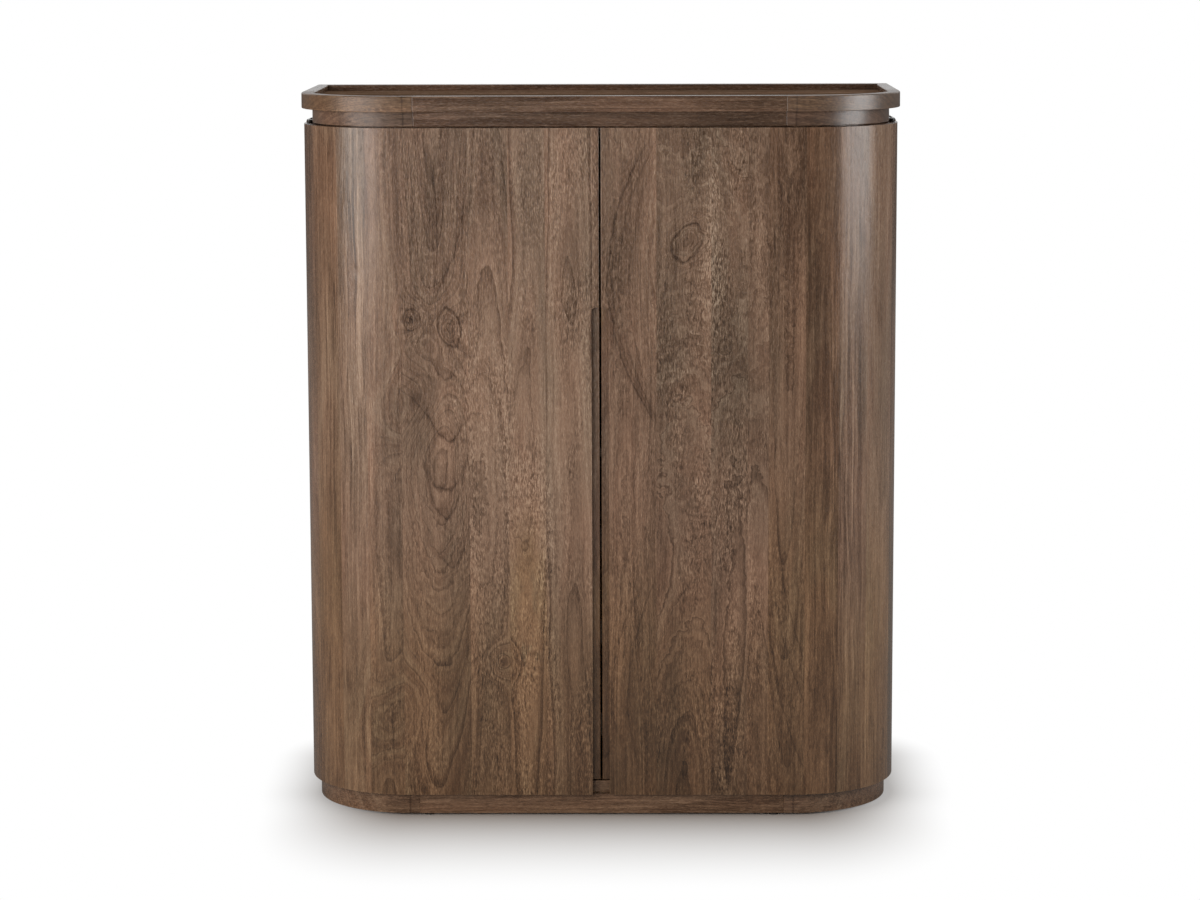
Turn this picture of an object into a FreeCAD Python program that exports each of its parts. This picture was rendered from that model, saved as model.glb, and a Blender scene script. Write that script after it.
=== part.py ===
"""Bar armoire with a tray top and two doors that wrap round its front corners.

Millimetres. The origin is on the floor under the middle of the cabinet. +Z is up, +X is to the
right as seen from the front, and the doors face -Y.
"""
import FreeCAD, Part
import math
import os

# Whole cabinet
overall_width = 1000.0
overall_depth = 460.0
overall_height = 1200.0

# Plan shared by the tray, neck, body and plinth
rim_overhang = 4.0
corner_radius = 176.0
corner_tail = 16.0

# Tray top
rim_height = 26.0
rim_rail_width = 20.0
rim_rebate_width = 8.0
rim_edge_bevel = 1.5
tray_lip = 10.0
tray_clearance = 0.2

# Neck under the tray
neck_height = 24.0
neck_inset = 14.0
neck_rail_thickness = 20.0

# Plinth
plinth_height = 36.0
plinth_inset = 13.0
plinth_rail_thickness = 20.0
glide_height = 3.0
glide_radius = 8.0

# Battens across the neck and the plinth
batten_width = 40.0
batten_spacing = 320.0
plinth_batten_height = 24.0

# Case
side_thickness = 22.0
panel_thickness = 20.0
back_thickness = 10.0
back_rebate = 10.0
edge_ease = 1.5

# Middle shelf, housed in the side panels
shelf_height = 618.0
shelf_thickness = 16.0
shelf_setback = 40.0
housing_depth = 8.0
housing_stop = 4.0

# Doors
door_thickness = 22.0
door_meeting_gap = 3.0
door_end_gap = 2.0
door_case_gap = 3.0
heel_length = 24.0
heel_gap = 3.5
heel_inner_round = 6.0

# Finger pull and its backing strips
pull_height = 855.0
pull_half_width = 14.0
pull_corner_round = 7.0
strip_thickness = 10.0
strip_lap = 18.0
strip_end_gap = 3.0

# Pivot hinges
pivot_from_face = 7.5
pivot_from_heel = 11.0
pin_radius = 3.0
pin_running_clearance = 0.05
pin_depth = 9.0
pin_hole_spare = 1.5
hinge_width = 10.0
strap_thickness = 3.0
strap_length = 50.0
leaf_thickness = 3.0
leaf_length = 32.0
leaf_clearance = 0.15
washer_radius = 4.6
washer_clearance = 0.1

# Magnetic catches, strike plates and bumpers
catch_width = 40.0
catch_depth = 18.0
catch_height = 12.0
catch_from_middle = 22.0
catch_round = 2.0
strike_gap = 0.3
strike_thickness = 1.5
strike_width = 34.0
strike_height = 10.0
bumper_radius = 4.0
bumper_squeeze_gap = 0.3
bumper_from_middle = 70.0

# Bottle rack
bottles_per_tier = 8
tiers = 3
tier_pitch = 158.0
lowest_tier_rise = 110.0
rack_setback = 48.0
rack_board_thickness = 18.0
rack_door_clearance = 8.0
rack_rail_inset = 3.0
rack_rail_height = 40.0
back_rail_from_back = 14.0
side_bay_width = 85.0
bottle_neck_radius = 15.0
bottle_body_radius = 38.0
bottle_clearance = 2.0
scallop_depth = 18.0

# Stemware rack
stemware_rails = 6
stemware_pitch = 100.0
stemware_setback = 60.0
stemware_back_gap = 12.0
hanger_width = 14.0
hanger_height = 20.0
flange_width = 64.0
flange_thickness = 8.0

# Cuts run past the faces that they open
overrun = 5.0

# Edges shorter than this are left out of an outline
shortest_edge = 1e-4

# Lines and levels worked out from the sizes above
half_width = overall_width / 2 - rim_overhang
front = -overall_depth / 2 + rim_overhang
back = overall_depth / 2
corner_x = half_width - corner_radius
corner_y = front + corner_radius
seam_x = corner_x - corner_tail
seam_y = corner_y + corner_tail
rim_bottom = overall_height - rim_height
tray_level = overall_height - tray_lip
case_top = rim_bottom - neck_height
case_bottom = plinth_height
middle_height = (case_top + case_bottom) / 2
panel_top = case_bottom + panel_thickness
panel_under = case_top - panel_thickness
shelf_under = shelf_height - shelf_thickness
door_top = case_top - door_end_gap
door_bottom = case_bottom + door_end_gap
door_inside = front + door_thickness
heel_y = corner_y + heel_length
side_front = heel_y + heel_gap
side_inside = half_width - side_thickness
panel_inset = door_thickness + door_case_gap
panel_front = front + panel_inset
panel_back = back - back_thickness
pivot_x = half_width - pivot_from_face
pivot_y = heel_y - pivot_from_heel
partition_outside = side_inside - side_bay_width
partition_inside = partition_outside - rack_board_thickness

up = FreeCAD.Vector(0, 0, 1)
rightwards = FreeCAD.Vector(1, 0, 0)
backwards = FreeCAD.Vector(0, 1, 0)
origin = FreeCAD.Vector(0, 0, 0)


def plan(level):
    """Places the points of a plan view at a height."""
    return lambda u, v: FreeCAD.Vector(u, v, level)


def elevation(depth):
    """Places the points of a front view at a depth."""
    return lambda u, v: FreeCAD.Vector(u, depth, v)


def rounded_face(corners, place):
    """A face with corners (u, v, radius), each rounded by an arc unless its radius is zero."""
    points = [place(u, v) for u, v, radius in corners]
    spans = []
    for index, (u, v, radius) in enumerate(corners):
        corner = points[index]
        if radius == 0:
            spans.append((corner, None, corner))
            continue
        before = (points[index - 1] - corner).normalize()
        after = (points[(index + 1) % len(points)] - corner).normalize()
        half_angle = before.getAngle(after) / 2
        inwards = (before + after).normalize()
        reach = radius / math.tan(half_angle)
        middle = corner + inwards * (radius / math.sin(half_angle) - radius)
        spans.append((corner + before * reach, middle, corner + after * reach))
    edges = []
    for index, (start, middle, end) in enumerate(spans):
        if middle is not None:
            edges.append(Part.Arc(start, middle, end).toShape())
        following = spans[(index + 1) % len(spans)][0]
        if (following - end).Length > shortest_edge:
            edges.append(Part.LineSegment(end, following).toShape())
    return Part.Face(Part.Wire(edges))


def box(low, high):
    """A block between two opposite corners."""
    size = [far - near for near, far in zip(low, high)]
    return Part.makeBox(size[0], size[1], size[2], FreeCAD.Vector(*low))


def cylinder(radius, low, high, x, y):
    """An upright round bar between two heights."""
    return Part.makeCylinder(radius, high - low, FreeCAD.Vector(x, y, low))


def one_solid(shape):
    """The single clean solid of a joined or cut shape."""
    return shape.removeSplitter().Solids[0]


def mirrored(shape):
    """The left-hand twin of a right-hand piece."""
    return shape.mirror(origin, rightwards)


def lower_twin(shape):
    """The twin, at the foot of the case, of a piece at its top."""
    return shape.mirror(up * middle_height, up)


def save(name, *solids):
    """Writes one piece, or a group of like pieces, to its own file."""
    shape = solids[0] if len(solids) == 1 else Part.makeCompound(list(solids))
    shape.exportStep("parts/" + name + ".step")


def save_pair(name, shape):
    """Writes a right-hand piece and its left-hand twin."""
    save("right_" + name, shape)
    save("left_" + name, mirrored(shape))


def four_hinges(shape):
    """A piece of the upper right hinge, and its twins on the other three."""
    return [shape, mirrored(shape), lower_twin(shape), lower_twin(mirrored(shape))]


def save_four_hinges(name, shape):
    """Writes a piece of the upper right hinge and its three twins."""
    places = ("upper_right_", "upper_left_", "lower_right_", "lower_left_")
    for place, twin in zip(places, four_hinges(shape)):
        save(place + name, twin)


def front_rounded_board(side_inset, front_line, back_line, low, high):
    """A board, square at the back, whose front corners follow the cabinet's plan."""
    side = half_width - side_inset
    radius = corner_y - front_line
    corners = [
        (-side, back_line, 0),
        (-side, front_line, radius),
        (side, front_line, radius),
        (side, back_line, 0),
    ]
    return rounded_face(corners, plan(low)).extrude(up * (high - low))


def save_frame(name, profile):
    """Writes a frame with one cross-section: straight rails and curved front corners.

    The profile's corners are (inset, height, radius), with insets measured inwards from the
    body's faces. Each curved corner runs a little way along the straights to its seams, and the
    back rail stands between the side rails, its ends shaped to them.
    """
    outer = profile[0][0]
    front_section = rounded_face(profile, lambda u, v: FreeCAD.Vector(0, front + u, v))
    side_section = rounded_face(profile, lambda u, v: FreeCAD.Vector(half_width - u, 0, v))
    back_section = rounded_face(profile, lambda u, v: FreeCAD.Vector(0, back + outer - u, v))

    front_rail = front_section.translated(rightwards * -seam_x).extrude(rightwards * (seam_x * 2))
    front_tail = front_section.translated(rightwards * seam_x).extrude(rightwards * corner_tail)
    side_tail = side_section.translated(backwards * corner_y).extrude(backwards * corner_tail)
    bend_start = front_section.translated(rightwards * corner_x)
    bend = bend_start.revolve(FreeCAD.Vector(corner_x, corner_y, 0), up, 90)
    corner = one_solid(bend.multiFuse([front_tail, side_tail]))
    side_rail = side_section.translated(backwards * seam_y).extrude(backwards * (back - seam_y))
    reach = half_width - outer
    back_blank = back_section.translated(rightwards * -reach).extrude(rightwards * (reach * 2))
    back_rail = one_solid(back_blank.cut([side_rail, mirrored(side_rail)]))

    save(name + "_front_rail", front_rail)
    save_pair(name + "_corner", corner)
    save_pair(name + "_side_rail", side_rail)
    save(name + "_back_rail", back_rail)


def save_battens(name, inset, thickness, low, high):
    """Writes the two battens that run from a frame's front rail to its back rail."""
    battens = []
    for middle in (-batten_spacing / 2, batten_spacing / 2):
        near = (middle - batten_width / 2, front + inset + thickness, low)
        far = (middle + batten_width / 2, back - thickness, high)
        battens.append(box(near, far))
    save(name, *battens)


def save_tray():
    """The tray top: a floor let into the rebate of the rails that form its raised rim."""
    outer = -rim_overhang
    inner = outer + rim_rail_width
    rebate = inner - rim_rebate_width
    profile = [
        (outer, rim_bottom, 0),
        (rebate, rim_bottom, 0),
        (rebate, tray_level, 0),
        (inner, tray_level, 0),
        (inner, overall_height - rim_edge_bevel, 0),
        (inner - rim_edge_bevel, overall_height, 0),
        (outer + rim_edge_bevel, overall_height, 0),
        (outer, overall_height - rim_edge_bevel, 0),
    ]
    save_frame("tray", profile)
    floor_inset = rebate + tray_clearance
    floor_back = back - (rebate - outer) - tray_clearance
    floor = front_rounded_board(floor_inset, front + floor_inset, floor_back, rim_bottom, tray_level)
    save("tray_floor", floor)


def save_neck():
    """The recessed band between the case and the tray."""
    inner = neck_inset + neck_rail_thickness
    profile = [
        (neck_inset, case_top, 0),
        (inner, case_top, 0),
        (inner, rim_bottom, 0),
        (neck_inset, rim_bottom, 0),
    ]
    save_frame("neck", profile)
    save_battens("neck_battens", neck_inset, neck_rail_thickness, case_top, rim_bottom)


def save_plinth():
    """The recessed base and the glides that it stands on."""
    inner = plinth_inset + plinth_rail_thickness
    profile = [
        (plinth_inset, glide_height, 0),
        (inner, glide_height, 0),
        (inner, plinth_height, 0),
        (plinth_inset, plinth_height, 0),
    ]
    save_frame("plinth", profile)
    batten_low = plinth_height - plinth_batten_height
    save_battens("plinth_battens", plinth_inset, plinth_rail_thickness, batten_low, plinth_height)

    middle = plinth_inset + plinth_rail_thickness / 2
    rear = back - plinth_rail_thickness / 2
    places = [
        (seam_x - glide_radius * 2, front + middle),
        (half_width - inner - glide_radius * 2, rear),
    ]
    glides = []
    for x, y in places:
        glide = cylinder(glide_radius, 0, glide_height, x, y)
        glides += [glide, mirrored(glide)]
    save("floor_glides", *glides)


def case_board(low, high):
    """A full-depth board between the side panels that reaches forwards inside the doors."""
    forepart = front_rounded_board(panel_inset, panel_front, panel_back, low, high)
    between = box((-side_inside, side_front, low), (side_inside, panel_back, high))
    return one_solid(forepart.fuse(between))


def shelf_shape():
    """The middle shelf, with ears that sit in the housings of the side panels."""
    forepart = front_rounded_board(panel_inset, front + shelf_setback, panel_back, shelf_under, shelf_height)
    ear_x = side_inside + housing_depth
    ears = box((-ear_x, side_front + housing_stop, shelf_under), (ear_x, panel_back, shelf_height))
    return one_solid(forepart.fuse(ears))


def side_panel_shape():
    """A side panel, eased at its front edge, rebated for the back and housed for the shelf."""
    corners = [
        (side_inside, side_front, edge_ease),
        (half_width, side_front, edge_ease),
        (half_width, back, edge_ease),
        (side_inside + back_rebate, back, 0),
        (side_inside + back_rebate, panel_back, 0),
        (side_inside, panel_back, 0),
    ]
    panel = rounded_face(corners, plan(case_bottom)).extrude(up * (case_top - case_bottom))
    housing_low = (side_inside - overrun, side_front + housing_stop, shelf_under)
    housing_high = (side_inside + housing_depth, panel_back + overrun, shelf_height)
    return one_solid(panel.cut(box(housing_low, housing_high)))


def save_case():
    """The fixed boards of the case."""
    save_pair("side_panel", side_panel_shape())
    save("top_panel", case_board(panel_under, case_top))
    save("bottom_panel", case_board(case_bottom, panel_top))
    save("mid_shelf", shelf_shape())
    back_edge = side_inside + back_rebate
    save("back_panel", box((-back_edge, panel_back, case_bottom), (back_edge, back, case_top)))


def pull_notch():
    """The opening of the finger pull in the right door, rounded at its upper corner."""
    corners = [
        (0, door_bottom - overrun, 0),
        (pull_half_width, door_bottom - overrun, 0),
        (pull_half_width, pull_height, pull_corner_round),
        (0, pull_height, 0),
    ]
    depth = door_thickness + overrun * 2
    return rounded_face(corners, elevation(front - overrun)).extrude(backwards * depth)


def leaf_plan(spare, level):
    """The outline of the leaf let into the door's end, round about the pivot."""
    half = hinge_width / 2 + spare
    corners = [
        (pivot_x - half, pivot_y - leaf_length - spare, 0),
        (pivot_x + half, pivot_y - leaf_length - spare, 0),
        (pivot_x + half, pivot_y + half, half),
        (pivot_x - half, pivot_y + half, half),
    ]
    return rounded_face(corners, plan(level))


def strap_plan(level):
    """The outline of the strap that reaches from the side panel over the door's end."""
    half = hinge_width / 2
    corners = [
        (pivot_x - half, pivot_y - half, half),
        (pivot_x + half, pivot_y - half, half),
        (pivot_x + half, pivot_y + strap_length, 0),
        (pivot_x - half, pivot_y + strap_length, 0),
    ]
    return rounded_face(corners, plan(level))


def door_shape():
    """The right door: flat front, curved corner and short heel, cut for its pull and leaves."""
    inside = half_width - door_thickness
    meeting = door_meeting_gap / 2
    corners = [
        (meeting, front, edge_ease),
        (half_width, front, corner_radius),
        (half_width, heel_y, edge_ease),
        (inside, heel_y, heel_inner_round),
        (inside, door_inside, corner_radius - door_thickness),
        (meeting, door_inside, edge_ease),
    ]
    door = rounded_face(corners, plan(door_bottom)).extrude(up * (door_top - door_bottom))
    mortise = leaf_plan(leaf_clearance, door_top - leaf_thickness).extrude(up * (leaf_thickness + overrun))
    hole_low = door_top - pin_depth - pin_hole_spare
    hole = cylinder(pin_radius + pin_hole_spare, hole_low, door_top, pivot_x, pivot_y)
    cuts = [mortise, hole, lower_twin(mortise), lower_twin(hole), pull_notch()]
    return one_solid(door.cut(cuts))


def pull_strip_shape():
    """The strip glued behind the finger pull, which closes its floor."""
    low = panel_top + strip_end_gap
    high = pull_height + strip_lap
    far = pull_half_width + strip_lap
    near_corner = (door_meeting_gap / 2, door_inside, low)
    return box(near_corner, (far, door_inside + strip_thickness, high))


def save_doors():
    """Both doors with the strips behind their finger pull."""
    save_pair("door", door_shape())
    save_pair("pull_strip", pull_strip_shape())


def save_hinges():
    """Pivot hinges: straps on the case, leaves let into the doors, pins and washers."""
    strap_high = case_top + strap_thickness
    pin = cylinder(pin_radius, door_top - pin_depth, strap_high, pivot_x, pivot_y)
    strap = strap_plan(case_top).extrude(up * strap_thickness)
    strap = one_solid(strap.cut(pin))
    leaf_bore_low = door_top - leaf_thickness
    leaf_bore = cylinder(pin_radius + pin_running_clearance, leaf_bore_low, door_top, pivot_x, pivot_y)
    leaf = leaf_plan(0, leaf_bore_low).extrude(up * leaf_thickness)
    leaf = one_solid(leaf.cut(leaf_bore))
    washer_low = door_top + washer_clearance
    washer = cylinder(washer_radius, washer_low, case_top, pivot_x, pivot_y)
    washer_bore = cylinder(pin_radius + pin_running_clearance, washer_low, case_top, pivot_x, pivot_y)
    washer = washer.cut(washer_bore)

    save_four_hinges("strap", strap)
    save_four_hinges("leaf", leaf)
    save("hinge_pins", *four_hinges(pin))
    save("hinge_washers", *four_hinges(washer))


def save_catches():
    """Magnetic catches under the top panel, their strike plates, and the lower door bumpers."""
    strike_face = door_inside + strike_thickness
    catch_front = strike_face + strike_gap
    catch_back = catch_front + catch_depth
    corners = [
        (catch_from_middle, catch_front, 0),
        (catch_from_middle + catch_width, catch_front, 0),
        (catch_from_middle + catch_width, catch_back, catch_round),
        (catch_from_middle, catch_back, catch_round),
    ]
    catch = rounded_face(corners, plan(panel_under - catch_height)).extrude(up * catch_height)
    save_pair("magnetic_catch", catch)

    middle_x = catch_from_middle + catch_width / 2
    middle_z = panel_under - catch_height / 2
    half_strike = strike_width / 2
    half_height = strike_height / 2
    strike_low = (middle_x - half_strike, door_inside, middle_z - half_height)
    strike = box(strike_low, (middle_x + half_strike, strike_face, middle_z + half_height))
    save_pair("strike_plate", strike)

    bumper_front = door_inside + bumper_squeeze_gap
    bumper_place = FreeCAD.Vector(bumper_from_middle, bumper_front, (case_bottom + panel_top) / 2)
    bumper = Part.makeCylinder(bumper_radius, panel_front - bumper_front, bumper_place, backwards)
    save("door_bumpers", bumper, mirrored(bumper))


def rack_front():
    """The front line of the bottle rack, held back where the curved doors come closer."""
    inner_radius = corner_radius - door_thickness - rack_door_clearance
    sideways = max(partition_outside - corner_x, 0)
    return max(front + rack_setback, corner_y - math.sqrt(inner_radius ** 2 - sideways ** 2))


def scalloped_rail(near, high, bottle_radius):
    """A rail between the partitions with a hollow for each bottle along its upper edge."""
    low_corner = (-partition_inside, near, high - rack_rail_height)
    rail = box(low_corner, (partition_inside, near + rack_board_thickness, high))
    radius = bottle_radius + bottle_clearance
    pitch = partition_inside * 2 / bottles_per_tier
    start = -partition_inside + pitch / 2
    hollows = []
    for place in range(bottles_per_tier):
        centre = FreeCAD.Vector(start + place * pitch, near - overrun, high - scallop_depth + radius)
        hollows.append(Part.makeCylinder(radius, rack_board_thickness + overrun * 2, centre, backwards))
    return one_solid(rail.cut(hollows))


def save_bottle_rack():
    """Two partitions, with a neck rail at the front and a lower body rail behind in each tier."""
    rack_y = rack_front()
    partition_low = (partition_inside, rack_y, panel_top)
    save_pair("rack_partition", box(partition_low, (partition_outside, panel_back, shelf_under)))
    front_y = rack_y + rack_rail_inset
    back_y = panel_back - back_rail_from_back - rack_board_thickness
    axis_drop = bottle_body_radius - bottle_neck_radius
    for tier in range(tiers):
        top = panel_top + lowest_tier_rise + tier * tier_pitch
        number = str(tier + 1)
        save("front_bottle_rail_" + number, scalloped_rail(front_y, top, bottle_neck_radius))
        save("back_bottle_rail_" + number, scalloped_rail(back_y, top - axis_drop, bottle_body_radius))


def save_stemware_rack():
    """Hangers under the top panel with a wider flange below each, to carry the feet of glasses."""
    hanger_low = panel_under - hanger_height
    flange_low = hanger_low - flange_thickness
    near = front + stemware_setback
    far = panel_back - stemware_back_gap
    half = flange_width / 2
    hangers = []
    flanges = []
    for place in range(stemware_rails):
        x = (place - (stemware_rails - 1) / 2) * stemware_pitch
        hanger_side = x - hanger_width / 2
        hangers.append(box((hanger_side, near, hanger_low), (hanger_side + hanger_width, far, panel_under)))
        flanges.append(box((x - half, near, flange_low), (x + half, far, hanger_low)))
    save("stemware_hangers", *hangers)
    save("stemware_flanges", *flanges)


os.makedirs("parts", exist_ok=True)
save_tray()
save_neck()
save_plinth()
save_case()
save_doors()
save_hinges()
save_catches()
save_bottle_rack()
save_stemware_rack()
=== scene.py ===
"""Looks of the bar armoire: stained brown hardwood, dark hinge metal, studio floor, light and camera."""
import math
import bpy
import numpy as np
from mathutils import Matrix, Vector


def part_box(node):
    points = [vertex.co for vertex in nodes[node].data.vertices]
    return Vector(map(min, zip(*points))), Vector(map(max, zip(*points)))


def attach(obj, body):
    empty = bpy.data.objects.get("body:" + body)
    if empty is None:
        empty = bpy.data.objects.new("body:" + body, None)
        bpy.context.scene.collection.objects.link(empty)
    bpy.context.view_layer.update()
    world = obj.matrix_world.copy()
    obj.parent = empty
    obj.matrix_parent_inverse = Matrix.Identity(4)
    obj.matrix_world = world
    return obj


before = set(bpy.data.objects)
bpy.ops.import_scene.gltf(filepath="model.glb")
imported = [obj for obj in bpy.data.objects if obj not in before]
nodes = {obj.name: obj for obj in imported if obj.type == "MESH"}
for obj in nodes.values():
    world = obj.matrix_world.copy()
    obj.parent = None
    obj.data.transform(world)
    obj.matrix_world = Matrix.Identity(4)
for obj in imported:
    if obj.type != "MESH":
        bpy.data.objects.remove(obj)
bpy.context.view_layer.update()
scene = bpy.context.scene

# Plan of the bent doors, in metres: centre of the corner bend, its outer radius, the straight heel
# behind it and half the gap at the meeting edges
BEND_X = 0.320
BEND_Y = -0.050
BEND_RADIUS = 0.176
HEEL = 0.024
HALF_GAP = 0.0015
DOOR_LENGTH = BEND_X + BEND_RADIUS * math.pi / 2 + HEEL
CABINET_HEIGHT = 1.2
# Inner and outer radius of the rings of rails and of the doors, about the same centre
RINGS = {
    "tray_": (0.160, 0.180), "neck_": (0.142, 0.162),
    "plinth_": (0.143, 0.163), "_door": (0.154, 0.176),
}
# Places of the screws: x of the hinges and y of their two pairs, x of the catches' pair
HINGE_X = 0.4885
STRAP_SCREWS_Y = (-0.012, 0.005)
LEAF_SCREWS_Y = (-0.063, -0.051)
CATCH_SCREWS_X = (0.028, 0.056)
# How wide the boards' sharp edges are eased
EASED = 0.0010
# How far apart in the noises two staves with seeds 0 and 1 are cut
SEED_STEP = 17.0
# Sharpness of drawn lines: their darkness is the exponent of minus this times the squared distance
FINE_LINE = 4.5e5
BROAD_LINE = 2.0e5
# Strength of the shade beside a drawn line, as a share of the line's own
SIDE_SHADE = 0.6
# How fast the lighter edges, worn and with a painted highlight, and the glue lines end: the exponent of minus
# this times the distance
WORN_AND_HIGHLIT_END = 900.0
GLUE_END = 1000.0
GLUE_DARK = 0.30


class Net:
    """A material's or group's node tree, with one short call for each kind of node."""

    def __init__(self, tree):
        self.tree = tree

    def add(self, kind, links=None, **settings):
        """A node with its settings, its inputs linked or set by name or number."""
        node = self.tree.nodes.new("ShaderNode" + kind)
        for key, value in settings.items():
            setattr(node, key, value)
        for key, value in (links or {}).items():
            if isinstance(value, bpy.types.NodeSocket):
                self.tree.links.new(value, node.inputs[key])
            else:
                node.inputs[key].default_value = value
        return node

    def math(self, operation, *values, clamp=False):
        """One step of arithmetic on one, two or three numbers."""
        node = self.add("Math", dict(enumerate(values)), operation=operation, use_clamp=clamp)
        return node.outputs[0]

    def total(self, *values):
        """The sum of several numbers."""
        result = values[0]
        for value in values[1:]:
            result = self.math("ADD", result, value)
        return result

    def times(self, first, second):
        """The product of two numbers."""
        return self.math("MULTIPLY", first, second)

    def join(self, x, y, z):
        """A vector from three numbers."""
        return self.add("CombineXYZ", {0: x, 1: y, 2: z}).outputs[0]

    def split(self, vector):
        """The three numbers of a vector."""
        return self.add("SeparateXYZ", {0: vector}).outputs

    def scaled(self, vector, x, y, z):
        """A vector with each of its numbers multiplied."""
        node = self.add("VectorMath", {0: vector, 1: (x, y, z)}, operation="MULTIPLY")
        return node.outputs[0]

    def moved(self, vector, push, reach):
        """A vector pushed sideways by up to a reach, not along the grain."""
        links = {0: push, 1: (reach, reach, 0.0), 2: vector}
        return self.add("VectorMath", links, operation="MULTIPLY_ADD").outputs[0]

    def noise(self, vector, detail=2.0, roughness=0.5):
        """Cloudy noise of about one feature to a unit, as number and colour."""
        links = {"Vector": vector, "Scale": 1.0, "Detail": detail, "Roughness": roughness}
        return self.add("TexNoise", links).outputs

    def noise_line(self, value, detail=2.0, roughness=0.5):
        """Cloudy noise along one number."""
        links = {"W": value, "Scale": 1.0, "Detail": detail, "Roughness": roughness}
        return self.add("TexNoise", links, noise_dimensions="1D").outputs[0]

    def span(self, value, low, high, to_low=0.0, to_high=1.0):
        """A number carried from one range to another, held at the ends."""
        links = {"Value": value, "From Min": low, "From Max": high, "To Min": to_low, "To Max": to_high}
        return self.add("MapRange", links, interpolation_type="SMOOTHSTEP").outputs[0]

    def ramp(self, value, stops, interpolation="LINEAR"):
        """A colour that changes along a number through the given stops, with its alpha if they have one."""
        node = self.add("ValToRGB", {0: value})
        node.color_ramp.interpolation = interpolation
        elements = node.color_ramp.elements
        while len(elements) < len(stops):
            elements.new(1.0)
        for element, (place, colour) in zip(elements, stops):
            element.position = place
            element.color = (*colour, 1.0)[:4]
        return node.outputs[0] if len(stops[0][1]) == 3 else node.outputs

    def blend(self, share, first, second, kind="MIX"):
        """Two colours laid over each other."""
        node = self.add("Mix", None, data_type="RGBA", blend_type=kind, clamp_factor=True)
        for key, value in ((0, share), (6, first), (7, second)):
            if isinstance(value, bpy.types.NodeSocket):
                self.tree.links.new(value, node.inputs[key])
            else:
                node.inputs[key].default_value = value if key == 0 else (*value, 1.0)
        return node.outputs[2]


def new_material(name):
    """An empty material and its net."""
    material = bpy.data.materials.new(name)
    material.use_nodes = True
    material.node_tree.nodes.clear()
    return material, Net(material.node_tree)


def close_material(net, shader):
    """Ends a material in its surface output."""
    net.tree.links.new(shader, net.add("OutputMaterial").inputs[0])


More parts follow.
